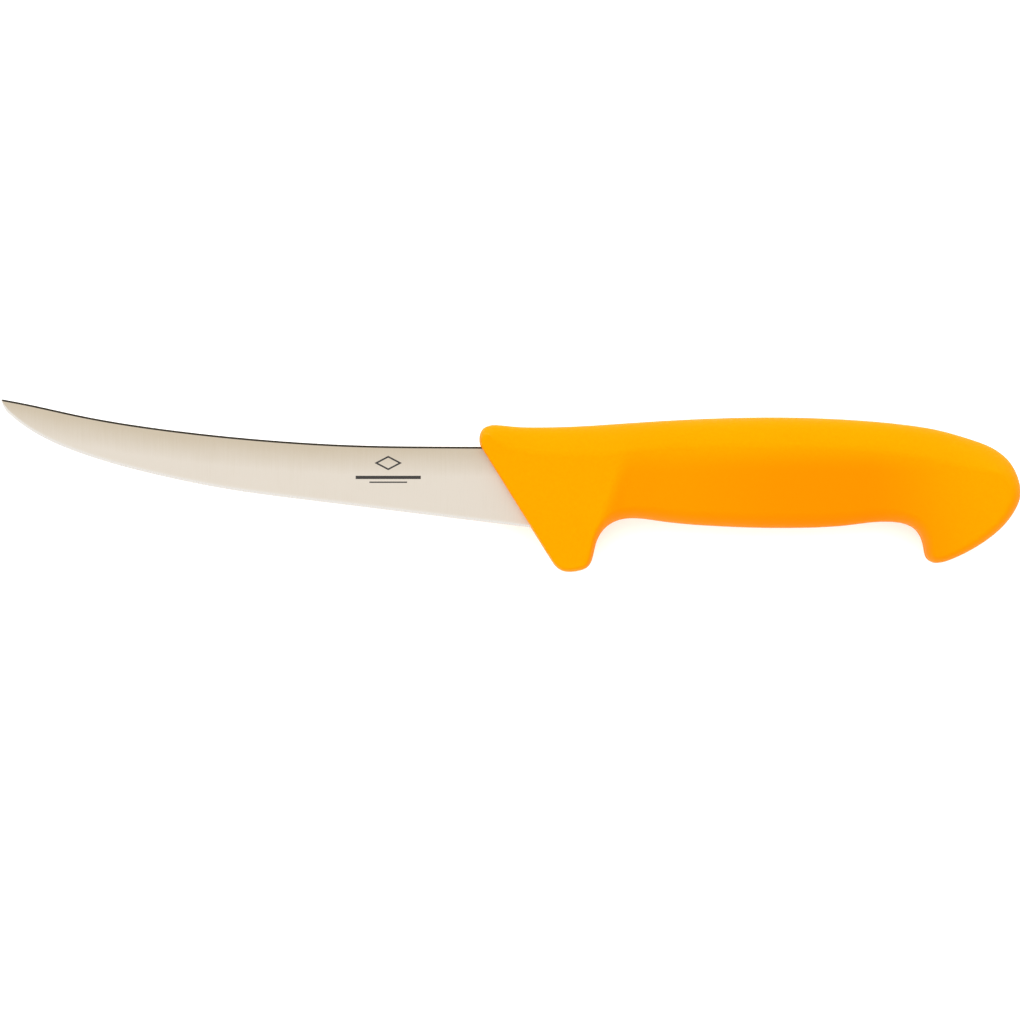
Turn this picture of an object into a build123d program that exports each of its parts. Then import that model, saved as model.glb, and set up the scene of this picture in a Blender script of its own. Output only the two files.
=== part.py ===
from build123d import *
import math
import os

# Boning knife: a ground steel blade whose tang is moulded into a hooked plastic handle.
# The knife lies on its side. X runs from the blade's tip to the handle's butt, Y from the
# cutting edge to the spine, and Z is the thickness. The origin is on the surface that the
# knife lies on, under the middle of the whole knife.

# ---- driving dimensions, in millimetres and degrees ----
TIP_X = -148.4              # blade's point
TIP_Y = 25.1
BUTT_X = 148.4              # rearmost point of the handle
GUARD_Y = -25.1             # lowest point of the finger guard
MID_Z = 10.8                # the knife's middle plane, at half the handle's thickness
MIDDLE = Plane.XY.offset(MID_Z)

BLADE_HALF = 1.0            # half the steel's thickness at the handle
HEEL_HALF = 0.81            # half the spine's thickness where the flat-ground heel ends
POINT_HALF = 0.35           # half the spine's thickness at the point
BEVEL_HALF = 0.2            # half thickness where the cutting bevel starts
APEX_HALF = 0.04            # half width of the cutting edge itself
BEVEL_WIDTH = 0.7
HEEL_X = -60.0              # the flat-ground heel runs from here to the handle
POINT_STEPS = 18            # cross-sections from the heel to the point

TANG_END_X = 104.0          # how far the tang runs into the handle
TANG_HOLE_RADIUS = 3.0
TANG_HOLES = [(24, 3.0), (54, 3.8), (86, 4.4)]

WINDOW_RADIUS = 3.5         # windows through the core, behind the tang, which the skin fills
WINDOWS = [(113, 3.5), (128, 2.5)]

FRONT_LOW = Vector(12.5, -22.0)      # the handle's straight, slanted front runs from the guard
FRONT_HIGH = Vector(-8.1, 10.7)      # up to the nose
UP_FRONT = (FRONT_HIGH - FRONT_LOW).normalized()
FRONT_LEAN = math.degrees(math.atan2(UP_FRONT.X, UP_FRONT.Y))
FRONT_X = FRONT_LOW.X - FRONT_LOW.Y * UP_FRONT.X / UP_FRONT.Y
FRONT_CHAMFER = 0.5

NOSE_TOP = (-4.4, 17.5)
BACK_TOP = (76, 19.7)
BUTT_MIDDLE = (BUTT_X, -2.0)
HOOK_LOW = (124.2, -22.4)
RECESS_REAR = (109, -10.5)
BELLY_LOW = (78, -12.25)
NECK = (35.5, -9.35)
GUARD_LOW = (18.0, GUARD_Y)

HEEL_REAR = Vector(0, -11.62)        # the heel's straight cutting edge, in front of the handle
HEEL_FRONT = Vector(HEEL_X, -4.2)
SPINE_REAR = (12, 11.1)
EDGE_REAR = (12, -13.1)


# ---- side outlines ----
TO_BUTT, TO_BLADE, TO_EDGE = (1, 0), (-1, 0), (0, -1)

with BuildSketch() as handle_outline:
    with BuildLine():
        Line(FRONT_LOW, FRONT_HIGH)
        Spline(FRONT_HIGH, (-8.85, 13.7), (-7.9, 16.3), NOSE_TOP, tangents=[UP_FRONT, TO_BUTT])
        Spline(NOSE_TOP, (6, 16.85), (20, 17.05), (46, 18.75), BACK_TOP, tangents=[TO_BUTT, TO_BUTT])
        Spline(
            BACK_TOP, (99, 19.0), (114, 17.7), (125.2, 15.9), (134, 13.4), (140, 11.1),
            (145.2, 7.0), (147.7, 2.0), BUTT_MIDDLE,
            tangents=[TO_BUTT, TO_EDGE],
        )
        Spline(
            BUTT_MIDDLE, (147.1, -6.5), (143.2, -11.8), (135.4, -17.7), (128.3, -21.2), HOOK_LOW,
            tangents=[TO_EDGE, TO_BLADE],
        )
        Spline(
            HOOK_LOW, (121.6, -21.4), (120.7, -18.4), (118.6, -13.2), (114.6, -11.0), RECESS_REAR,
            tangents=[TO_BLADE, TO_BLADE],
        )
        Spline(RECESS_REAR, (99, -11.4), BELLY_LOW, tangents=[TO_BLADE, TO_BLADE])
        Spline(BELLY_LOW, (60, -11.7), (44, -10.3), NECK, tangents=[TO_BLADE, TO_BLADE])
        Spline(
            NECK, (30.6, -10.2), (26.6, -13.4), (24.5, -17.4), (23.4, -21.7), GUARD_LOW,
            tangents=[TO_BLADE, TO_BLADE],
        )
        Spline(GUARD_LOW, (14.8, -24.4), FRONT_LOW, tangents=[TO_BLADE, UP_FRONT])
    make_face()

with BuildSketch() as blade_outline:
    with BuildLine():
        spine = Spline(
            SPINE_REAR, (-20, 11.3), (-44, 11.75), (-67, 13.1), (-102, 16.7), (-125.4, 20.4),
            (-143, 24.2), (TIP_X + 0.6, TIP_Y),
        )
        point = Line(spine @ 1, (TIP_X, TIP_Y - 0.6))
        Spline(
            point @ 1, (-147.6, 22.4), (-145.2, 20.0), (-137.0, 14.4), (-125.4, 9.4),
            (-102, 2.8), (-78.8, -1.7), HEEL_FRONT,
        )
        Polyline(HEEL_FRONT, EDGE_REAR, SPINE_REAR)
    make_face()


# ---- cross-sections, all on upright planes ----
def chord(outline, x, lean):
    """The low and the high point where a line through (x, 0) crosses an outline.
    The line leans by an angle from upright, towards the butt when the angle is positive."""
    run = Vector(math.sin(math.radians(lean)), math.cos(math.radians(lean)))
    line = Edge.make_line(Vector(x, 0) - run * 60, Vector(x, 0) + run * 60)
    inside = outline.sketch.face().intersect(line)
    ends = ShapeList(end for piece in inside for end in piece.vertices()).sort_by(Axis.Y)
    return Vector(ends[0]), Vector(ends[-1])


def cross_plane(low, high):
    """An upright plane whose own X runs from the low point to the high point."""
    run = high - low
    return Plane(origin=(low.X, low.Y, MID_Z), x_dir=run, z_dir=(run.Y, -run.X, 0))


def rounded_section(low, high, half_low, half_high, radius_low, radius_high):
    """A rounded trapezium from a low point to a high point."""
    length = (high - low).length
    with BuildSketch(cross_plane(low, high)) as section:
        with BuildLine():
            Polyline(
                (0, -half_low), (length, -half_high), (length, half_high), (0, half_low), close=True
            )
        make_face()
        fillet(section.vertices().sort_by(Axis.X)[:2], radius_low)
        fillet(section.vertices().sort_by(Axis.X)[-2:], radius_high)
    return section.sketch


def ramp(pairs, x):
    """Straight-line interpolation through pairs of (x, value)."""
    for (x0, value0), (x1, value1) in zip(pairs, pairs[1:]):
        if x < x1:
            return value0 + (value1 - value0) * max(0, x - x0) / (x1 - x0)
    return pairs[-1][1]


# ---- blade: flat-ground heel, tapering point and hidden tang in one piece of steel ----
def raised(place, side, half):
    """A place on the blade's side, a half thickness away from the middle plane."""
    return Vector(place.X, place.Y, MID_Z + side * half)


def side_plane(place, side, half):
    """The plane through the bevel's upper line and one more place, facing away from the steel."""
    rear = raised(HEEL_REAR + Vector(0, BEVEL_WIDTH), side, BEVEL_HALF)
    front = raised(HEEL_FRONT + Vector(0, BEVEL_WIDTH), side, BEVEL_HALF)
    normal = (front - rear).cross(raised(place, side, half) - rear)
    return Plane(origin=rear, x_dir=front - rear, z_dir=normal * math.copysign(1, normal.Z * side))


def blade_section(step):
    """The wedge that the blade is at one step from the heel to the point."""
    x = HEEL_X + (TIP_X + 0.05 - HEEL_X) * math.sin(math.radians(90 * step / POINT_STEPS))
    low, high = chord(blade_outline, x, 0)
    width = high.Y - low.Y
    bevel = min(BEVEL_WIDTH, 0.3 * width)
    half = HEEL_HALF + (POINT_HALF - HEEL_HALF) * ((x - HEEL_X) / (TIP_X - HEEL_X)) ** 1.5
    with BuildSketch(cross_plane(low, high)) as section:
        with BuildLine():
            Polyline(
                (0, -APEX_HALF), (bevel, -BEVEL_HALF), (width, -half),
                (width, half), (bevel, BEVEL_HALF), (0, APEX_HALF), close=True,
            )
        make_face()
    return section.sketch


with BuildPart() as blade:
    with BuildSketch(MIDDLE):
        add(blade_outline.sketch)
        with BuildLine():
            Polyline(
                (HEEL_X, GUARD_Y), (HEEL_X, TIP_Y), FRONT_HIGH + UP_FRONT * 10,
                FRONT_LOW - UP_FRONT * 10, close=True,
            )
        make_face(mode=Mode.INTERSECT)
    extrude(amount=BLADE_HALF, both=True)
    for side in (-1, 1):
        split(bisect_by=side_plane(Vector(0, 11.3), side, BLADE_HALF), keep=Keep.BOTTOM)
        split(bisect_by=side_plane(HEEL_REAR, side, APEX_HALF), keep=Keep.BOTTOM)
    loft(sections=[blade_section(step) for step in range(POINT_STEPS + 1)], ruled=True)
    with BuildSketch(MIDDLE):
        with BuildLine():
            Polyline(
                FRONT_HIGH, SPINE_REAR, (TANG_END_X, 9.6), (TANG_END_X, -0.8),
                (22, -5.0), (14, -11.0), FRONT_LOW + UP_FRONT * 12.3, close=True,
            )
        make_face()
    extrude(amount=BLADE_HALF, both=True)
    with Locations([(x, y, MID_Z) for x, y in TANG_HOLES]):
        Cylinder(TANG_HOLE_RADIUS, 4 * BLADE_HALF, mode=Mode.SUBTRACT)

# ---- handle core: hard plastic moulded first, around the tang and through its holes ----
# x, low y, high y and half thickness of each section
CORE_STATIONS = [
    (7.5, -6.8, 13.4, 4.6), (22, -6.2, 13.6, 5.4), (34, -5.4, 14.2, 5.2), (50, -6.4, 15.4, 5.0),
    (78, -7.6, 16.3, 5.0), (104, -6.6, 15.2, 5.0), (122, -7.0, 12.6, 5.6), (137, -5.6, 8.0, 5.2),
]
CORE_ROUNDING = 3.5

with BuildPart() as handle_core:
    loft(sections=[
        rounded_section(Vector(x, low), Vector(x, high), half, half, CORE_ROUNDING, CORE_ROUNDING)
        for x, low, high, half in CORE_STATIONS
    ])
    with Locations([(x, y, MID_Z) for x, y in WINDOWS]):
        Cylinder(WINDOW_RADIUS, 4 * MID_Z, mode=Mode.SUBTRACT)
    add(blade.part, mode=Mode.SUBTRACT)

# ---- handle skin: sections that fan out around the guard and the hook ----
HALF_THICKNESS = [
    (-9, 6.4), (30, MID_Z), (42, 10.3), (66, MID_Z), (90, 10.4),
    (108, 10.1), (126, 10.6), (136, MID_Z), (144, 10.4),
]
FINGER_SHARE = [(24, 1.0), (38, 0.7), (102, 0.7), (120, 1.0)]     # the grip is thinner along its belly
LOW_ROUNDING = [(9, 1.5), (25, 2.5), (34, 5.5), (100, 6.0), (124, 4.0)]
HIGH_ROUNDING = [(-8, 2.0), (10, 5.0), (30, 7.0), (110, 7.5), (140, 5.5)]

# where each section's line crosses Y = 0, and its lean
NOSE_DEPTHS = [0.4, 1.2, 2.6, 4.6, 7.2, 10.9]
GUARD_FAN = [(13.2, -30), (17.0, -26.5), (20.8, -22), (24.6, -17), (29.2, -11), (35, -5)]
GRIP_FAN = [(43, 0), (54, 0), (66, 0), (80, 0), (96, 0), (106, 3)]
HOOK_FAN = [
    (112.7, 8), (118.7, 16), (124, 23), (128.8, 29), (133.6, 34), (138.8, 38), (143.4, 41),
]
BUTT_START = 145.8          # from here the butt closes like a quarter of an ellipse
BUTT_END = 155.0
BUTT_LEAN = 45
BUTT_STEPS = 9


def handle_section(x, lean, closing=1.0):
    """The handle's section on one line of the fan, made thinner where the butt closes."""
    low, high = chord(handle_outline, x, lean)
    half_low = ramp(HALF_THICKNESS, low.X) * ramp(FINGER_SHARE, low.X) * closing
    half_high = ramp(HALF_THICKNESS, high.X) * closing
    largest = min(0.45 * (high - low).length, 0.9 * min(half_low, half_high))
    radius_low = min(ramp(LOW_ROUNDING, low.X), largest)
    radius_high = min(ramp(HIGH_ROUNDING, high.X), largest)
    return rounded_section(low, high, half_low, half_high, radius_low, radius_high)


def butt_section(step):
    turn = math.radians(80 * step / (BUTT_STEPS - 1))
    x = BUTT_START + (BUTT_END - BUTT_START) * math.sin(turn)
    return handle_section(x, BUTT_LEAN, math.cos(turn) ** 0.6)


front_section = rounded_section(
    FRONT_LOW, FRONT_HIGH,
    ramp(HALF_THICKNESS, FRONT_LOW.X) - FRONT_CHAMFER,
    ramp(HALF_THICKNESS, FRONT_HIGH.X) - FRONT_CHAMFER,
    LOW_ROUNDING[0][1], HIGH_ROUNDING[0][1],
)
fan = [(FRONT_X + depth, FRONT_LEAN) for depth in NOSE_DEPTHS] + GUARD_FAN + GRIP_FAN + HOOK_FAN

with BuildPart() as handle_skin:
    loft(sections=[front_section] + [handle_section(x, lean) for x, lean in fan] + [butt_section(0)])
    loft(sections=[butt_section(step) for step in range(BUTT_STEPS)], ruled=True)
    add(handle_core.part, mode=Mode.SUBTRACT)
    add(blade.part, mode=Mode.SUBTRACT)

# ---- files ----
os.makedirs("parts", exist_ok=True)
blade.part.label = "blade"
export_step(blade.part, "parts/blade.step")
handle_core.part.label = "handle_core"
export_step(handle_core.part, "parts/handle_core.step")
handle_skin.part.label = "handle_skin"
export_step(handle_skin.part, "parts/handle_skin.step")
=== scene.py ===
import math

import bmesh
import bpy
import numpy as np
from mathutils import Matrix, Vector
from mathutils.geometry import delaunay_2d_cdt


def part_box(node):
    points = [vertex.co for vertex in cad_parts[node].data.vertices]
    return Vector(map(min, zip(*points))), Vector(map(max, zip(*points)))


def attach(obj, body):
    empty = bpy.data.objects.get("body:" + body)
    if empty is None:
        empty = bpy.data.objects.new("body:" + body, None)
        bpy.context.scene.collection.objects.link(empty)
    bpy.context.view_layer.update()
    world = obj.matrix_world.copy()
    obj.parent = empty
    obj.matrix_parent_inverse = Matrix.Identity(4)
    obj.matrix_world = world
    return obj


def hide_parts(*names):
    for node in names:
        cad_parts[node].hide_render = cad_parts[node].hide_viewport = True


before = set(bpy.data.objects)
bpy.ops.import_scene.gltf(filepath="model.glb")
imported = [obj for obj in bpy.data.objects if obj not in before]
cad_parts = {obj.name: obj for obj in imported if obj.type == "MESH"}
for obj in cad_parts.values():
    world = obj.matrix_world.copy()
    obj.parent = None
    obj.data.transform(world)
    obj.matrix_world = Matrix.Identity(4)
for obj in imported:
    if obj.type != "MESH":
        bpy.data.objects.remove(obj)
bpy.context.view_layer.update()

# Boning knife, lying on its side: X runs from the blade's tip to the handle's butt, Y from the
# cutting edge to the spine and Z is the thickness. Shapes are worked out in millimetres, with
# heights counted from the knife's middle plane, and turned into metres when a mesh is made.
MM = 0.001
SKIN_LOW, SKIN_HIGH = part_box("handle_skin")
MIDDLE_Z = (SKIN_LOW.z + SKIN_HIGH.z) / 2


# ---------------------------------------------------------------- curves and meshes
def path_slopes(xy, chords, leaving, arriving):
    """The slope at each place of a curve of continuous curvature. An end with no heading runs straight."""
    count = len(xy)
    system = np.zeros((count, count))
    target = np.zeros((count, 2))
    for i in range(1, count - 1):
        before, after = chords[i - 1], chords[i]
        system[i, i - 1:i + 2] = after, 2 * (before + after), before
        target[i] = 3 * (after * (xy[i] - xy[i - 1]) / before + before * (xy[i + 1] - xy[i]) / after)
    for end, direction in ((0, leaving), (count - 1, arriving)):
        system[end, end] = 1
        if direction is not None:
            target[end] = np.array(direction) / np.linalg.norm(direction)
        else:
            step = 1 if end == 0 else -1
            system[end, end] = 2
            system[end, end + step] = 1
            target[end] = 3 * (xy[end + step] - xy[end]) * step / chords[0 if end == 0 else -1]
    return np.linalg.solve(system, target)


def smooth_path(places, leaving=None, arriving=None, spacing=0.5):
    """Points along a curve of continuous curvature through places, and the curve's headings there.
    A place may carry more numbers than x and y, which are carried along in straight lines."""
    places = np.array(places, float)
    xy = places[:, :2]
    chords = np.linalg.norm(np.diff(xy, axis=0), axis=1)
    slopes = path_slopes(xy, chords, leaving, arriving)
    points, headings = [], []
    for i, chord in enumerate(chords):
        steps = max(3, math.ceil(chord / spacing))
        t = (np.arange(steps) / steps)[:, None]
        p0, p1, m0, m1 = xy[i], xy[i + 1], slopes[i] * chord, slopes[i + 1] * chord
        place = (
            (1 + 2 * t) * (1 - t) ** 2 * p0 + t * (1 - t) ** 2 * m0
            + t * t * (3 - 2 * t) * p1 + t * t * (t - 1) * m1
        )
        heading = 6 * t * (t - 1) * (p0 - p1) + (3 * t * t - 4 * t + 1) * m0 + (3 * t * t - 2 * t) * m1
        extra = places[i, 2:] * (1 - t) + places[i + 1, 2:] * t
        points.append(np.hstack([place, extra]))
        headings.append(heading / np.linalg.norm(heading, axis=1)[:, None])
    points.append(places[-1:])
    headings.append(slopes[-1:] / np.linalg.norm(slopes[-1]))
    return np.vstack(points), np.vstack(headings)


def smooth_keys(pairs, reach):
    """A function through pairs of (x, value): straight between them, and blended over reach at each."""
    keys = np.array(pairs, float)
    x = np.arange(keys[0, 0] - 2 * reach, keys[-1, 0] + 2 * reach, reach / 12)
    value = np.interp(x, keys[:, 0], keys[:, 1])
    window = np.hanning(15)[1:-1]
    ends = np.pad(value, 6, mode="edge")
    value = np.convolve(ends, window / window.sum(), mode="valid")
    return lambda at: np.interp(at, x, value)


def smooth_step(low, high, value):
    t = np.clip((value - low) / (high - low), 0, 1)
    return t * t * (3 - 2 * t)


def new_mesh(name, points, faces):
    """A smooth-shaded mesh object from points in millimetres, with heights from the middle plane."""
    mesh = bpy.data.meshes.new(name)
    placed = np.array(points) * MM + (0, 0, MIDDLE_Z)
    mesh.from_pydata(placed.tolist(), [], faces)
    mesh.validate()
    mesh.update()
    mesh.polygons.foreach_set("use_smooth", [True] * len(mesh.polygons))
    piece = bpy.data.objects.new(name, mesh)
    bpy.context.scene.collection.objects.link(piece)
    return piece


def loop_faces(first, second, count):
    """Quads between two closed loops of count points that start at the given indices."""
    return [
        (first + i, first + (i + 1) % count, second + (i + 1) % count, second + i) for i in range(count)
    ]


def carve(piece, cutter):
    """Cuts one closed mesh out of another for good, and removes the cutter."""
    cut = piece.modifiers.new("cut", "BOOLEAN")
    cut.operation = "DIFFERENCE"
    cut.solver = "EXACT"
    cut.object = cutter
    graph = bpy.context.evaluated_depsgraph_get()
    carved = bpy.data.meshes.new_from_object(piece.evaluated_get(graph))
    piece.modifiers.clear()
    piece.data = carved
    bpy.data.objects.remove(cutter)


def mark_sharp(piece, angle):
    """Marks the edges that turn by more than an angle, and drops the normals that a cutter left behind."""
    mesh = piece.data
    left_behind = mesh.attributes.get("custom_normal")
    if left_behind:
        mesh.attributes.remove(left_behind)
    mesh.update()
    mesh.set_sharp_from_angle(angle=angle)


def note_on_points(piece, name, value_at):
    """Stores a number on each point of a piece, worked out from its x and y in millimetres."""
    places = np.array([v.co for v in piece.data.vertices]) / MM
    values = value_at(places[:, 0], places[:, 1])
    attribute = piece.data.attributes.new(name, "FLOAT", "POINT")
    attribute.data.foreach_set("value", values.astype(np.float32))


def closed_copy(node):
    """A copy of a CAD node whose faces share their points, so that it can be cut out of a piece."""
    mesh = bpy.data.meshes.new(node)
    shell = bmesh.new()
    shell.from_mesh(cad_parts[node].data)
    bmesh.ops.remove_doubles(shell, verts=shell.verts, dist=1e-7)
    shell.to_mesh(mesh)
    shell.free()
    copy = bpy.data.objects.new(node + "_cutter", mesh)
    bpy.context.scene.collection.objects.link(copy)
    return copy


# ---------------------------------------------------------------- handle moulding
TO_BUTT, TO_BLADE, TO_EDGE = (1, 0), (-1, 0), (0, -1)
FRONT_LOW = (12.25, -22.0)     # the handle's straight front runs between these
FRONT_HIGH = (-8.1, 10.7)
FRONT_ROUNDING = 0.45
UP_FRONT = (FRONT_HIGH[0] - FRONT_LOW[0], FRONT_HIGH[1] - FRONT_LOW[1])

# The side outline, clockwise from the guard's tip: x, y and the rounding of the handle's edge there.
# Each stretch starts where the last one ended, and ends with the heading given after its places.
OUTLINE_START = (*FRONT_LOW, FRONT_ROUNDING)
OUTLINE_STRETCHES = [
    ([(*FRONT_HIGH, FRONT_ROUNDING)], UP_FRONT),
    ([(-8.85, 13.7, 1.4), (-7.9, 16.3, 2.8), (-4.6, 17.5, 4.8)], TO_BUTT),
    (
        [
            (0.5, 17.08, 6.8), (9, 16.8, 8.3), (20, 17.1, 9.0), (30, 17.72, 9.0), (46, 18.75, 8.2),
            (76, 19.7, 9.1),
        ],
        TO_BUTT,
    ),
    (
        [
            (99, 19.0, 9.2), (114, 17.7, 9.6), (125.2, 15.9, 9.6), (134, 13.4, 9.2), (140, 11.1, 8.0),
            (145.2, 7.0, 6.0), (147.7, 2.0, 4.4), (148.4, -2.0, 3.8),
        ],
        TO_EDGE,
    ),
    (
        [
            (147.1, -6.5, 3.4), (143.2, -11.85, 3.0), (135.4, -17.85, 2.6), (128.4, -21.45, 2.2),
            (124.2, -22.55, 2.0),
        ],
        TO_BLADE,
    ),
    (
        [
            (121.8, -21.5, 2.0), (120.8, -18.4, 2.4), (118.5, -13.1, 3.2), (114.6, -11.05, 3.6),
            (109, -10.55, 4.0),
        ],
        TO_BLADE,
    ),
    ([(99, -11.5, 4.2), (78, -12.35, 4.4)], TO_BLADE),
    ([(60, -11.8, 4.3), (44, -10.4, 4.0), (35.6, -9.5, 3.6)], TO_BLADE),
    (
        [
            (30.3, -10.6, 3.2), (26.95, -13.2, 2.4), (25.0, -16.9, 1.8), (24.0, -21.0, 1.4),
            (22.6, -23.7, 1.3), (20.3, -24.75, 1.3), (17.2, -25.15, 1.3),
        ],
        TO_BLADE,
    ),
    ([(14.5, -24.45, 0.9), OUTLINE_START], UP_FRONT),
]

# Each broad side is level from the spine down to a soft ridge, and along the grip it slopes in from there
# to the fingers. At each x these give its half thickness, the ridge's y and how steep the slope is.
ridge_thickness = smooth_keys(
    [
        (-30, 4.0), (-9, 6.4), (31, 10.75), (42, 10.3), (66, 10.7), (90, 10.35), (108, 10.05),
        (126, 10.6), (136, 10.75), (146, 10.3), (160, 9.5),
    ],
    6,
)
ridge_height = smooth_keys([(20, 7.0), (40, 7.4), (61, 8.0), (105, 8.2), (135, 6.5), (150, 3.5)], 8)
finger_slope = smooth_keys(
    [(20, 0.165), (36, 0.165), (64, 0.215), (84, 0.23), (98, 0.26), (110, 0.26), (130, 0.22)], 8
)
# how much of the spine side's edge is a flat bevel instead of a rounding
bevel_part = smooth_keys(
    [(0, 0.44), (28, 0.44), (46, 0.28), (108, 0.28), (130, 0.44), (150, 0.44)], 8
)
RIDGE_SOFTNESS = 1.9
CREASE_X, CREASE_LEAN = 28.8, 0.337    # the guard's rear crease starts here at y = 0, and leans back
CREASE_WIDTH = 4.8
CREASE_FAN = 0.12              # how much the crease widens per millimetre towards the fingers
HOOK_START, HOOK_END = 103, 130
HOOK_LEAN = 0.3
GRIP_SHADE_RAMP = (44, 88)           # the painted shade on the grip, a deeper orange, grows between these places along X
# the least painted shade on the grip, at its front, and where that shade ends towards the butt
LEAST_GRIP_SHADE, GRIP_SHADE_END = 0.68, 142
GRIP_SHADE_FADE = 4.5               # how far from the ridge the grip's painted shade, a deeper orange, starts and is full

ROUND_STEPS = 20               # loops over the rounded edge
ROUND_DEEPER = 2.2             # the rounding reaches this much further down than inwards
FINGER_POWER, SPINE_POWER = 2.0, 3.0   # how square the rounding is on either side of the handle
SPINE_SIDE = (-0.1, 0.7)       # the normal's Y where the spine side begins and is complete
BEVEL_BLEND = 0.12             # how softly the bevel runs into the broad face, as a share of its width
LEAST_WALL = 1.2               # least height of the upright wall above the middle plane
PARTING_HALF = 0.22            # half width of the fine ridge where the mould's halves meet
PARTING_PROUD = 0.1
FILL_SPACING = 0.75            # between the points that carry the broad faces


def within_grip(x, y, hook_end=HOOK_END):
    """1 between the guard's rear crease and the hook, 0 on the guard and on the pommel."""
    width = CREASE_WIDTH + CREASE_FAN * np.maximum(ridge_height(x) - y, 0)
    behind_crease = smooth_step(0, width, x - CREASE_X - CREASE_LEAN * y)
    return behind_crease * (1 - smooth_step(HOOK_START, hook_end, x + HOOK_LEAN * y))


def half_thickness(x, y):
    """Half the handle's thickness away from its rounded edges."""
    below = RIDGE_SOFTNESS * np.logaddexp(0, (ridge_height(x) - y) / RIDGE_SOFTNESS)
    return ridge_thickness(x) - finger_slope(x) * below * within_grip(x, y)


def grip_shade_share(x, y):
    """How much painted shade the plastic gets: a deeper orange standing in for the shading of the grip's
    sloping sides, most near the hook.
    """
    along = LEAST_GRIP_SHADE + (1 - LEAST_GRIP_SHADE) * smooth_step(*GRIP_SHADE_RAMP, x)
    below_ridge = smooth_step(-GRIP_SHADE_FADE, GRIP_SHADE_FADE, ridge_height(x) - y)
    return along * below_ridge * within_grip(x, y, GRIP_SHADE_END)


def handle_outline():
    """Points, outward normals and edge roundings all the way round the side outline."""
    points, normals = [], []
    start, leaving = OUTLINE_START, UP_FRONT
    for places, arriving in OUTLINE_STRETCHES:
        along, heading = smooth_path([start, *places], leaving, arriving)
        points.append(along[:-1])
        normals.append(np.stack([-heading[:-1, 1], heading[:-1, 0]], axis=1))
        start, leaving = places[-1], arriving
    points, normals = np.vstack(points), np.vstack(normals)
    window = np.hanning(17)[1:-1]
    wrapped = np.pad(points[:, 2], 7, mode="wrap")
    rounding = np.convolve(wrapped, window / window.sum(), mode="valid")
    return points[:, :2], normals, rounding


def filled_inside(loop):
    """Triangles of the area inside a loop, with evenly spread points in it."""
    low, high = loop.min(axis=0), loop.max(axis=0)
    inner = []
    row_height = FILL_SPACING * math.sqrt(0.75)
    for row, y in enumerate(np.arange(low[1], high[1], row_height)):
        shift = FILL_SPACING / 2 * (row % 2)
        inner += [(x + shift, y) for x in np.arange(low[0], high[0], FILL_SPACING)]
    inner = np.array(inner)
    crossings = np.zeros(len(inner), int)
    nearest = np.full(len(inner), np.inf)
    for (x0, y0), (x1, y1) in zip(loop, np.roll(loop, -1, axis=0)):
        if y1 != y0:
            spans = (y0 > inner[:, 1]) != (y1 > inner[:, 1])
            reach = x0 + (inner[:, 1] - y0) * (x1 - x0) / (y1 - y0)
            crossings += spans & (inner[:, 0] < reach)
        nearest = np.minimum(nearest, np.hypot(inner[:, 0] - x0, inner[:, 1] - y0))
    inner = inner[(crossings % 2 == 1) & (nearest > 0.6 * FILL_SPACING)]
    count = len(loop)
    coordinates = [Vector(p) for p in np.vstack([loop, inner])]
    edges = [(i, (i + 1) % count) for i in range(count)]
    points, _, faces, _, _, _ = delaunay_2d_cdt(coordinates, edges, [], 1, 1e-6)
    points = np.array([tuple(p) for p in points])
    assert np.allclose(points[:count], loop, atol=1e-4), "the fill has moved the loop's points"
    return points, faces


def edge_loops(outline, normals, rounding):
    """Loops round the handle, from the rim of the top face down to that of the bottom face."""
    rounded = []
    spine_side = smooth_step(*SPINE_SIDE, normals[:, 1])
    bevel_share = bevel_part(outline[:, 0]) * spine_side
    power = FINGER_POWER + (SPINE_POWER - FINGER_POWER) * spine_side
    for step in range(ROUND_STEPS + 1):
        turn = math.pi / 2 * step / ROUND_STEPS
        place = outline - normals * (rounding * (1 - math.cos(turn)))[:, None]
        top = half_thickness(place[:, 0], place[:, 1])
        depth = np.minimum(rounding + ROUND_DEEPER, top - LEAST_WALL)
        outwards = math.cos(turn)
        full_bevel = math.hypot(1, BEVEL_BLEND) - BEVEL_BLEND
        bevelled = (math.hypot(outwards, BEVEL_BLEND) - BEVEL_BLEND) / full_bevel
        rounded_off = 1 - (1 - outwards ** power) ** (1 / power)
        fallen = bevel_share * bevelled + (1 - bevel_share) * rounded_off
        rounded.append(np.column_stack([place, top - depth * fallen]))
    wall_top = rounded[0][:, 2]
    wall_middle = np.column_stack([outline, (wall_top + PARTING_HALF) / 2])
    foot = np.column_stack([outline, np.full(len(outline), PARTING_HALF)])
    crest = np.column_stack([outline + normals * PARTING_PROUD, np.full(len(outline), PARTING_HALF / 3)])
    upper = rounded[::-1] + [wall_middle, foot, crest]
    return upper + [loop * (1, 1, -1) for loop in upper[::-1]]


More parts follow.
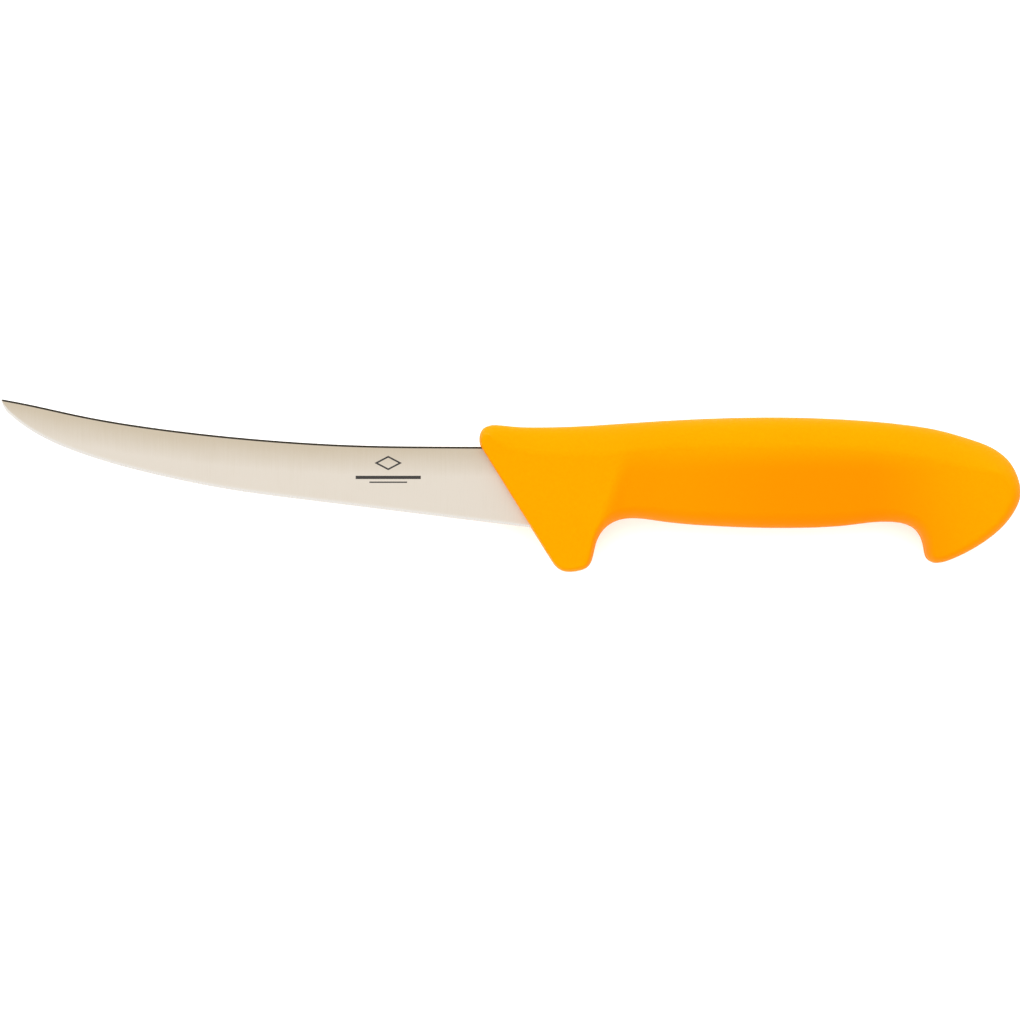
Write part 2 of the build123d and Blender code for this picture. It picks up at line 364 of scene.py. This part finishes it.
def closed_moulding():
    """The handle's whole outer shape as one closed mesh, with nothing inside it."""
    loops = edge_loops(*handle_outline())
    count = len(loops[0])
    points = list(np.vstack(loops))
    faces = []
    for number in range(len(loops) - 1):
        faces += loop_faces(number * count, (number + 1) * count, count)

    fill, triangles = filled_inside(loops[0][:, :2])
    inner = fill[count:]
    height = half_thickness(inner[:, 0], inner[:, 1])
    top_start = len(points)
    bottom_start = top_start + len(inner)
    points += list(np.column_stack([inner, height]))
    points += list(np.column_stack([inner, -height]))
    last_loop = (len(loops) - 1) * count
    for triangle in triangles:
        a, b, c = fill[triangle[0]], fill[triangle[1]], fill[triangle[2]]
        upward = (b[0] - a[0]) * (c[1] - a[1]) - (b[1] - a[1]) * (c[0] - a[0]) > 0
        ordered = list(triangle) if upward else list(triangle)[::-1]
        faces.append([i if i < count else i - count + top_start for i in ordered])
        faces.append([i + last_loop if i < count else i - count + bottom_start for i in ordered[::-1]])
    return new_mesh("handle_moulding", points, faces)


# ---------------------------------------------------------------- blade
HEEL_X = -60.0                 # the straight heel runs from here back to the handle
HEEL_FRONT = (HEEL_X, -4.2)
EDGE_REAR = (12.0, -13.1)
POINT = (-148.4, 24.72)
# the spine and the edge, each from the handle to the point
SPINE_PLACES = [
    (12, 11.15), (-20, 11.3), (-44, 11.65), (-67, 12.9), (-102, 16.5), (-125.4, 20.35), (-143, 24.15),
    (-148.1, 25.1),
]
EDGE_PLACES = [
    HEEL_FRONT, (-78.8, -1.7), (-102, 2.8), (-125.4, 9.4), (-137.0, 14.4), (-145.2, 20.0),
    (-147.5, 22.5), POINT,
]
ENTRY_X = 7.0                  # everything behind this is hidden in the handle
CORE_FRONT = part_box("handle_core")[0].x / MM    # the tang is plain flat stock from here on
SEAM_CLEARANCE = 0.02
TANG_TOP = (104.0, 9.6)        # where the spine's line ends, inside the handle
TANG_BOTTOM = [(ENTRY_X, -12.48), (14, -11.0), (22, -5.0), (104, -0.8)]
TANG_HOLES = [(24, 3.0), (54, 3.8), (86, 4.4)]
TANG_HOLE_RADIUS = 3.0

STOCK_HALF = 1.0               # half the steel's thickness at the handle
HEEL_HALF = 0.81               # half the spine's thickness where the straight heel ends
POINT_HALF = 0.35
BEVEL_HALF = 0.2               # half thickness where the cutting bevel starts
APEX_HALF = 0.04
BEVEL_WIDTH = 0.75
BULGE = 0.2                    # how convex the ground sides are
ARRIS_WIDTH = 0.58             # how far the rounding of the spine's two edges reaches over the sides
ARRIS_SHARE = 0.5              # how much of the spine's half thickness that rounding takes
FACE_STEPS, ARRIS_STEPS = 14, 5
GROUND, BEVEL, ARRISES, SPINE = range(4)    # the blade's material slots

tang_top_line = smooth_path([TANG_TOP, SPINE_PLACES[0]])[0][:-1]
spine_line = np.vstack([tang_top_line, smooth_path(SPINE_PLACES)[0], POINT])
belly_line = smooth_path(EDGE_PLACES, leaving=np.subtract(HEEL_FRONT, EDGE_REAR))[0]
heel_line = np.vstack([np.array(TANG_BOTTOM)[::-1], belly_line])


def spine_y(x):
    return np.interp(-x, -spine_line[:, 0], spine_line[:, 1])


def edge_y(x):
    return np.interp(-x, -heel_line[:, 0], heel_line[:, 1])


def spine_half(x):
    """Half the spine's thickness at x."""
    if x > HEEL_X:
        return min(STOCK_HALF, STOCK_HALF + (HEEL_HALF - STOCK_HALF) * x / HEEL_X)
    along = (x - HEEL_X) / (POINT[0] - HEEL_X)
    return HEEL_HALF + (POINT_HALF - HEEL_HALF) * along ** 1.5


def blade_side(x, grow):
    """(y, half thickness) from the cutting edge up to the spine, on one upright section."""
    low, high = edge_y(x) - grow, spine_y(x) + grow
    width = high - low
    half = spine_half(x) + grow
    unground = smooth_step(ENTRY_X, CORE_FRONT, x)
    steepness = abs(edge_y(x + 0.1) - edge_y(x - 0.1)) / 0.2
    bevel = min(BEVEL_WIDTH * math.hypot(1, steepness), 0.4 * width)
    bevel_half = BEVEL_HALF + grow + (half - BEVEL_HALF - grow) * unground
    apex_half = APEX_HALF + grow + (half - APEX_HALF - grow) * unground
    bevel_half = min(bevel_half, half)
    arris = max(min(ARRIS_WIDTH, 0.3 * width) * (1 - unground), SEAM_CLEARANCE)
    side = [(low, apex_half)]
    for step in range(FACE_STEPS + 1):
        share = step / FACE_STEPS
        bulging = share + BULGE * share * (1 - share) * (1 - unground)
        y = low + bevel + (width - bevel - arris) * share
        side.append((y, bevel_half + (half - bevel_half) * bulging))
    for step in range(1, ARRIS_STEPS + 1):
        turn = math.pi / 2 * step / ARRIS_STEPS
        y = high - arris * (1 - math.sin(turn))
        side.append((y, half * (1 - ARRIS_SHARE * (1 - math.cos(turn)))))
    return side


def blade_stations(grow):
    """Where along X the blade's sections stand, from the point to the tang's end."""
    turns = np.linspace(math.pi / 2, 0, 71)
    belly = HEEL_X + (POINT[0] + 0.04 - HEEL_X) * np.sin(turns)
    heel = np.linspace(HEEL_X, ENTRY_X, 38)[1:]
    tang = [CORE_FRONT, TANG_BOTTOM[1][0], TANG_BOTTOM[2][0], TANG_TOP[0] + grow]
    return np.concatenate([belly, heel, tang])


def closed_blade(name, grow=0.0):
    """The blade and its tang as one closed mesh, grown outwards by a clearance."""
    points, faces, slots = [], [], []
    side_count = FACE_STEPS + ARRIS_STEPS + 2
    count = 2 * side_count
    stations = blade_stations(grow)
    for x in stations:
        side = blade_side(x, grow)
        points += [(x, y, half) for y, half in side]
        points += [(x, y, -half) for y, half in side[::-1]]
    strip_slots = [BEVEL] + [GROUND] * FACE_STEPS + [ARRISES] * ARRIS_STEPS
    ring_slots = strip_slots + [SPINE] + strip_slots[::-1] + [BEVEL]
    for number in range(len(stations) - 1):
        faces += loop_faces((number + 1) * count, number * count, count)
        slots += ring_slots
    point_end = list(range(count))
    tang_end = [i + (len(stations) - 1) * count for i in point_end]
    faces += [point_end, tang_end[::-1]]
    slots += [SPINE, SPINE]
    blade = new_mesh(name, points, faces)
    blade.data.polygons.foreach_set("material_index", slots)
    return blade


def hole_cutter(x, y):
    """A bar across the tang, to cut one hole."""
    sides = 64
    turns = [2 * math.pi * i / sides for i in range(sides)]
    rim = [(x + TANG_HOLE_RADIUS * math.cos(t), y + TANG_HOLE_RADIUS * math.sin(t)) for t in turns]
    points = [(*place, -3) for place in rim] + [(*place, 3) for place in rim]
    faces = loop_faces(0, sides, sides) + [list(range(sides))[::-1], list(range(sides, 2 * sides))]
    return new_mesh("hole_cutter", points, faces)


# ---------------------------------------------------------------- material helpers
NOISE_RANGE = (0.25, 0.75)     # noise seldom leaves this range


def new_material(name):
    """A material and its shader node."""
    material = bpy.data.materials.new(name)
    material.use_nodes = True
    return material, material.node_tree.nodes["Principled BSDF"]


def feed(tree, socket, value):
    """Sets a socket to a number, or links another socket to it."""
    if isinstance(value, (int, float, tuple)):
        socket.default_value = value
    else:
        tree.links.new(value, socket)


def calculate(tree, operation, first, second=0.0):
    node = tree.nodes.new("ShaderNodeMath")
    node.operation = operation
    feed(tree, node.inputs[0], first)
    feed(tree, node.inputs[1], second)
    return node.outputs[0]


def spread(tree, value, low, high, from_low=0.0, from_high=1.0, smooth=False):
    """Maps a value's range onto another one, and stays inside it."""
    node = tree.nodes.new("ShaderNodeMapRange")
    if smooth:
        node.interpolation_type = "SMOOTHSTEP"
    for place, number in enumerate((value, from_low, from_high, low, high)):
        feed(tree, node.inputs[place], number)
    return node.outputs[0]


def blended(tree, share, first, second):
    """One colour turning into another as share goes from 0 to 1."""
    node = tree.nodes.new("ShaderNodeMix")
    node.data_type = "RGBA"        # inputs 6 and 7 and output 2 are its colour sockets
    feed(tree, node.inputs[0], share)
    feed(tree, node.inputs[6], first)
    feed(tree, node.inputs[7], second)
    return node.outputs[2]


def grain(tree, size, detail=2.0):
    """Noise between 0 and 1 whose features have this size in millimetres along X, Y and Z."""
    place = tree.nodes.new("ShaderNodeTexCoord").outputs["Object"]
    mapping = tree.nodes.new("ShaderNodeMapping")
    mapping.inputs["Scale"].default_value = [1 / (length * MM) for length in size]
    tree.links.new(place, mapping.inputs["Vector"])
    noise = tree.nodes.new("ShaderNodeTexNoise")
    noise.inputs["Scale"].default_value = 1.0
    noise.inputs["Detail"].default_value = detail
    tree.links.new(mapping.outputs[0], noise.inputs["Vector"])
    return noise.outputs[0]


def noted(tree, name):
    """A number that a piece's points carry."""
    node = tree.nodes.new("ShaderNodeAttribute")
    node.attribute_name = name
    return node.outputs["Fac"]


def bump(tree, shader, height, depth, strength=1.0, under=None):
    """Raises a surface by height times depth, in millimetres."""
    node = tree.nodes.new("ShaderNodeBump")
    node.inputs["Strength"].default_value = strength
    node.inputs["Distance"].default_value = depth * MM
    tree.links.new(height, node.inputs["Height"])
    if under is not None:
        tree.links.new(under, node.inputs["Normal"])
    tree.links.new(node.outputs[0], shader.inputs["Normal"])
    return node.outputs[0]


def place_in_mm(tree):
    """Sockets for X, Y and the height above the middle plane, in millimetres."""
    place = tree.nodes.new("ShaderNodeTexCoord").outputs["Object"]
    parts = tree.nodes.new("ShaderNodeSeparateXYZ")
    tree.links.new(place, parts.inputs[0])
    x, y, z = (calculate(tree, "DIVIDE", part, MM) for part in parts.outputs)
    return x, y, calculate(tree, "SUBTRACT", z, MIDDLE_Z / MM)


# ---------------------------------------------------------------- materials
ORANGE_DEEP = (0.76, 0.223, 0.0, 1)
ORANGE_LIGHT = (0.79, 0.252, 0.0, 1)
# painted shade: the deeper orange given to the grip's sloping sides
ORANGE_GRIP_SHADE = (0.75, 0.182, 0.0, 1)
ORANGE_SHEEN = (1.0, 0.55, 0.06, 1)
HANDLED_HEIGHTS = (9.4, 10.7)  # hands have polished what stands this far from the middle plane
CORE_DARK, CORE_LIGHT = (0.50, 0.47, 0.39, 1), (0.60, 0.57, 0.50, 1)


def orange_plastic():
    """Matte moulded polypropylene: spark-eroded texture, slow colour drift, polished high spots and
    painted shade in a deeper orange on the grip's sloping sides.
    """
    material, shader = new_material("orange_plastic")
    tree = material.node_tree
    drift = grain(tree, (30, 22, 22), 3)
    speckle = grain(tree, (0.9, 0.9, 0.9), 2)
    slow = calculate(tree, "MULTIPLY", drift, 0.6)
    share = calculate(tree, "ADD", slow, spread(tree, speckle, -0.4, 0.6))
    moulded = blended(tree, share, ORANGE_DEEP, ORANGE_LIGHT)
    # painted shade: the grip's sloping sides turn deeper orange, as if shaded
    grip = calculate(tree, "MULTIPLY", noted(tree, "grip"), 0.85)
    feed(tree, shader.inputs["Base Color"], blended(tree, grip, moulded, ORANGE_GRIP_SHADE))
    _, _, height = place_in_mm(tree)
    away = calculate(tree, "ABSOLUTE", height)
    handled = spread(tree, away, 0.0, 0.07, *HANDLED_HEIGHTS, smooth=True)
    roughness = spread(tree, grain(tree, (9, 6, 6), 4), 0.44, 0.56)
    feed(tree, shader.inputs["Roughness"], calculate(tree, "SUBTRACT", roughness, handled))
    coarse = bump(tree, shader, grain(tree, (1.1, 1.1, 1.1), 2), 0.04)
    bump(tree, shader, grain(tree, (0.35, 0.35, 0.35), 2), 0.02, under=coarse)
    shader.inputs["Specular IOR Level"].default_value = 0.03
    shader.inputs["Specular Tint"].default_value = ORANGE_SHEEN
    return material


def core_plastic():
    """Natural, uncoloured hard plastic, with faint flow lines from moulding."""
    material, shader = new_material("core_plastic")
    tree = material.node_tree
    flow = grain(tree, (40, 3, 3), 3)
    feed(tree, shader.inputs["Base Color"], blended(tree, flow, CORE_DARK, CORE_LIGHT))
    feed(tree, shader.inputs["Roughness"], spread(tree, flow, 0.38, 0.55))
    bump(tree, shader, grain(tree, (0.8, 0.8, 0.8), 2), 0.015)
    return material


# painted shade: the ground steel is darker near the spine, for the darker surroundings it mirrors there
STEEL_SHADED_AT_SPINE = (0.61, 0.525, 0.403, 1)
STEEL_BELOW = (0.752, 0.685, 0.594, 1)
STEEL_AT_EDGE = (0.80, 0.75, 0.68, 1)
# painted shade: near-black steel on the spine's rounded edges and dark steel on the spine, for the dark
# line along the spine
ARRIS_DARK, ARRIS_LIGHT = (0.03, 0.025, 0.019, 1), (0.065, 0.055, 0.042, 1)
SPINE_DARK, SPINE_LIGHT = (0.26, 0.24, 0.21, 1), (0.40, 0.37, 0.33, 1)
BEVEL_DARK, BEVEL_LIGHT = (0.76, 0.72, 0.665, 1), (0.84, 0.805, 0.76, 1)
SPINE_SHADE_DEPTHS = (1.2, 8.8)      # below the spine, the painted shade on the steel fades out between these
EDGE_DEPTHS = (0.4, 1.4)       # above the edge, the brightest steel fades between these

MARK_GREY = (0.028, 0.026, 0.024, 1)
MARK_X, MARK_Y = -35.5, 6.5
LOZENGE_HALF_WIDTH, LOZENGE_HALF_HEIGHT, LOZENGE_HOLLOW = 4.0, 2.1, 0.74
LONG_BAR_Y, LONG_BAR_SIZE = MARK_Y - 4.2, (19.0, 0.95)
SHORT_BAR_Y, SHORT_BAR_SIZE = MARK_Y - 5.6, (11.0, 0.4)


def distance(tree, value, centre):
    return calculate(tree, "ABSOLUTE", calculate(tree, "SUBTRACT", value, centre))


def mark_bar(tree, x, y, centre_y, size):
    """1 inside a bar that is centred under the mark, 0 outside."""
    within_x = calculate(tree, "LESS_THAN", distance(tree, x, MARK_X), size[0] / 2)
    within_y = calculate(tree, "LESS_THAN", distance(tree, y, centre_y), size[1] / 2)
    return calculate(tree, "MULTIPLY", within_x, within_y)


def mark_lozenge(tree, x, y):
    """1 on the outline of a lozenge, 0 inside and outside it."""
    across = calculate(tree, "DIVIDE", distance(tree, x, MARK_X), LOZENGE_HALF_WIDTH)
    along = calculate(tree, "DIVIDE", distance(tree, y, MARK_Y), LOZENGE_HALF_HEIGHT)
    span = calculate(tree, "ADD", across, along)
    within = calculate(tree, "LESS_THAN", span, 1.0)
    return calculate(tree, "MULTIPLY", within, calculate(tree, "GREATER_THAN", span, LOZENGE_HOLLOW))


def maker_mark(tree):
    """A plain, generic etched mark on the upper side: a lozenge outline over two bars."""
    x, y, height = place_in_mm(tree)
    long_bar = mark_bar(tree, x, y, LONG_BAR_Y, LONG_BAR_SIZE)
    short_bar = mark_bar(tree, x, y, SHORT_BAR_Y, SHORT_BAR_SIZE)
    bars = calculate(tree, "MAXIMUM", long_bar, short_bar)
    drawn = calculate(tree, "MAXIMUM", mark_lozenge(tree, x, y), bars)
    return calculate(tree, "MULTIPLY", drawn, calculate(tree, "GREATER_THAN", height, 0.0))


def ground_steel():
    """The blade's ground sides, with fine lines across, painted shade that darkens them towards the spine,
    and bright at the edge.
    """
    material, shader = new_material("ground_steel")
    tree = material.node_tree
    lines = grain(tree, (0.35, 9, 9), 3)
    patches = grain(tree, (14, 9, 9), 3)
    # painted shade: darker steel near the spine
    depth = spread(tree, noted(tree, "below_spine"), 0.0, 1.0, *SPINE_SHADE_DEPTHS)
    share = calculate(tree, "ADD", depth, spread(tree, lines, -0.12, 0.12, *NOISE_RANGE))
    share = calculate(tree, "ADD", share, spread(tree, patches, -0.08, 0.08, *NOISE_RANGE))
    steel = blended(tree, share, STEEL_SHADED_AT_SPINE, STEEL_BELOW)
    at_edge = spread(tree, noted(tree, "above_edge"), 1.0, 0.0, *EDGE_DEPTHS)
    steel = blended(tree, at_edge, steel, STEEL_AT_EDGE)
    mark = maker_mark(tree)
    feed(tree, shader.inputs["Base Color"], blended(tree, mark, steel, MARK_GREY))
    feed(tree, shader.inputs["Metallic"], spread(tree, mark, 1.0, 0.3))
    lined = spread(tree, lines, 0.33, 0.45, *NOISE_RANGE)
    roughness = calculate(tree, "ADD", lined, spread(tree, patches, 0, 0.04))
    etched = calculate(tree, "MULTIPLY", mark, 0.6)
    feed(tree, shader.inputs["Roughness"], calculate(tree, "MAXIMUM", roughness, etched))
    bump(tree, shader, lines, 0.004)
    return material


def bevel_steel():
    """The whetted cutting bevel: brighter, with short lines across it."""
    material, shader = new_material("bevel_steel")
    tree = material.node_tree
    lines = grain(tree, (0.15, 2, 2), 2)
    feed(tree, shader.inputs["Base Color"], blended(tree, lines, BEVEL_DARK, BEVEL_LIGHT))
    feed(tree, shader.inputs["Roughness"], spread(tree, lines, 0.22, 0.36, *NOISE_RANGE))
    bump(tree, shader, lines, 0.002)
    shader.inputs["Metallic"].default_value = 1.0
    return material


def spine_shade_steel(name, darker, lighter):
    """Steel with coarse lines along the blade's thickness, coloured dark as painted shade for the dark
    line along the spine and its rounded edges.
    """
    material, shader = new_material(name)
    tree = material.node_tree
    lines = grain(tree, (0.5, 6, 6), 3)
    feed(tree, shader.inputs["Base Color"], blended(tree, lines, darker, lighter))
    feed(tree, shader.inputs["Roughness"], spread(tree, lines, 0.36, 0.52, *NOISE_RANGE))
    bump(tree, shader, lines, 0.006)
    shader.inputs["Metallic"].default_value = 1.0
    return material


PAPER_DARK, PAPER_LIGHT = (0.90, 0.90, 0.90, 1), (0.93, 0.93, 0.93, 1)
PAPER_GLOW = 0.16


def floor_paper():
    """Pale, matte studio paper that glows a little, so that it stays white round the knife."""
    material, shader = new_material("floor_paper")
    tree = material.node_tree
    paper = blended(tree, grain(tree, (120, 120, 120), 3), PAPER_DARK, PAPER_LIGHT)
    feed(tree, shader.inputs["Base Color"], paper)
    shader.inputs["Roughness"].default_value = 0.9
    shader.inputs["Specular IOR Level"].default_value = 0.1
    shader.inputs["Emission Color"].default_value = (1, 1, 1, 1)
    shader.inputs["Emission Strength"].default_value = PAPER_GLOW
    return material


# ---------------------------------------------------------------- camera, light and floor
KEY_SIDE = (-0.15, 0.8, 0.92)  # the key lamps shine from here: over the spine, a little from the point
FILL_SIDE = (-0.5, -1.0, 0.2)  # low over the cutting edge, and from the point
CAMERA_HEIGHT = 1.2            # above the knife's middle plane, in metres
VIEW_WIDTH = 0.2975            # how much the picture takes in there: the knife fills it from side to side
VIEW_BELOW_MIDDLE = 0.0072
SENSOR_WIDTH = 36
FLOOR_HALF = 2.0


def add_camera():
    data = bpy.data.cameras.new("camera")
    data.sensor_width = SENSOR_WIDTH
    data.lens = SENSOR_WIDTH * CAMERA_HEIGHT / VIEW_WIDTH
    camera = bpy.data.objects.new("camera", data)
    camera.location = (0, -VIEW_BELOW_MIDDLE, MIDDLE_Z + CAMERA_HEIGHT)
    bpy.context.scene.collection.objects.link(camera)
    bpy.context.scene.camera = camera


def add_sky(overhead, level, sideways):
    """Soft light from all round, brightest overhead and brighter on the spine's side."""
    world = bpy.data.worlds.new("studio")
    world.use_nodes = True
    tree = world.node_tree
    parts = tree.nodes.new("ShaderNodeSeparateXYZ")
    tree.links.new(tree.nodes.new("ShaderNodeTexCoord").outputs["Generated"], parts.inputs[0])
    rising = spread(tree, parts.outputs[2], level, overhead, 0.0, 1.0)
    strength = calculate(tree, "ADD", rising, calculate(tree, "MULTIPLY", parts.outputs[1], sideways))
    tree.links.new(strength, tree.nodes["Background"].inputs["Strength"])
    tree.nodes["Background"].inputs["Color"].default_value = (1, 1, 1, 1)
    bpy.context.scene.world = world


def add_sun(name, strength, towards, softness, shadow=True):
    """A broad lamp far away, which shines from the direction of towards and isn't mirrored."""
    data = bpy.data.lights.new(name, "SUN")
    data.energy = strength
    data.angle = math.radians(softness)
    data.use_shadow = shadow
    lamp = bpy.data.objects.new(name, data)
    lamp.rotation_euler = Vector(towards).to_track_quat("Z", "Y").to_euler()
    lamp.visible_glossy = False
    bpy.context.scene.collection.objects.link(lamp)


def add_floor():
    corners = [(-1, -1), (1, -1), (1, 1), (-1, 1)]
    mesh = bpy.data.meshes.new("floor")
    mesh.from_pydata([(x * FLOOR_HALF, y * FLOOR_HALF, 0) for x, y in corners], [], [(0, 1, 2, 3)])
    floor = bpy.data.objects.new("floor", mesh)
    bpy.context.scene.collection.objects.link(floor)
    floor.data.materials.append(floor_paper())


# ---------------------------------------------------------------- the knife
SHARP_PLASTIC, SHARP_STEEL = math.radians(34), math.radians(7.5)    # edges that turn by more look sharp


def add_blade():
    blade = closed_blade("ground_blade")
    blade.data.materials.append(ground_steel())
    blade.data.materials.append(bevel_steel())
    # painted shade on the spine's rounded edges and on the spine
    blade.data.materials.append(spine_shade_steel("arris_painted_shade", ARRIS_DARK, ARRIS_LIGHT))
    blade.data.materials.append(spine_shade_steel("spine_painted_shade", SPINE_DARK, SPINE_LIGHT))
    for x, y in TANG_HOLES:
        carve(blade, hole_cutter(x, y))
    mark_sharp(blade, SHARP_STEEL)
    note_on_points(blade, "below_spine", lambda x, y: spine_y(x) - y)
    note_on_points(blade, "above_edge", lambda x, y: y - edge_y(x))
    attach(blade, "root")
    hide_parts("blade")


def add_handle():
    handle = closed_moulding()
    carve(handle, closed_blade("blade_cutter", SEAM_CLEARANCE))
    carve(handle, closed_copy("handle_core"))
    mark_sharp(handle, SHARP_PLASTIC)
    # stores how much shade is painted on the grip at each point
    note_on_points(handle, "grip", grip_shade_share)
    handle.data.materials.clear()
    handle.data.materials.append(orange_plastic())
    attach(handle, "root")
    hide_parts("handle_skin")


def finish_core():
    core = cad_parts["handle_core"]
    core.data.materials.clear()
    core.data.materials.append(core_plastic())


add_camera()
add_sky(overhead=1.1, level=0.9, sideways=0.05)
add_sun("key", 1.35, KEY_SIDE, softness=70)
add_sun("key_fill", 1.35, KEY_SIDE, softness=70, shadow=False)
add_sun("fill", 1.05, FILL_SIDE, softness=50, shadow=False)
add_floor()
add_blade()
add_handle()
finish_core()
bpy.context.scene.view_settings.view_transform = "Standard"
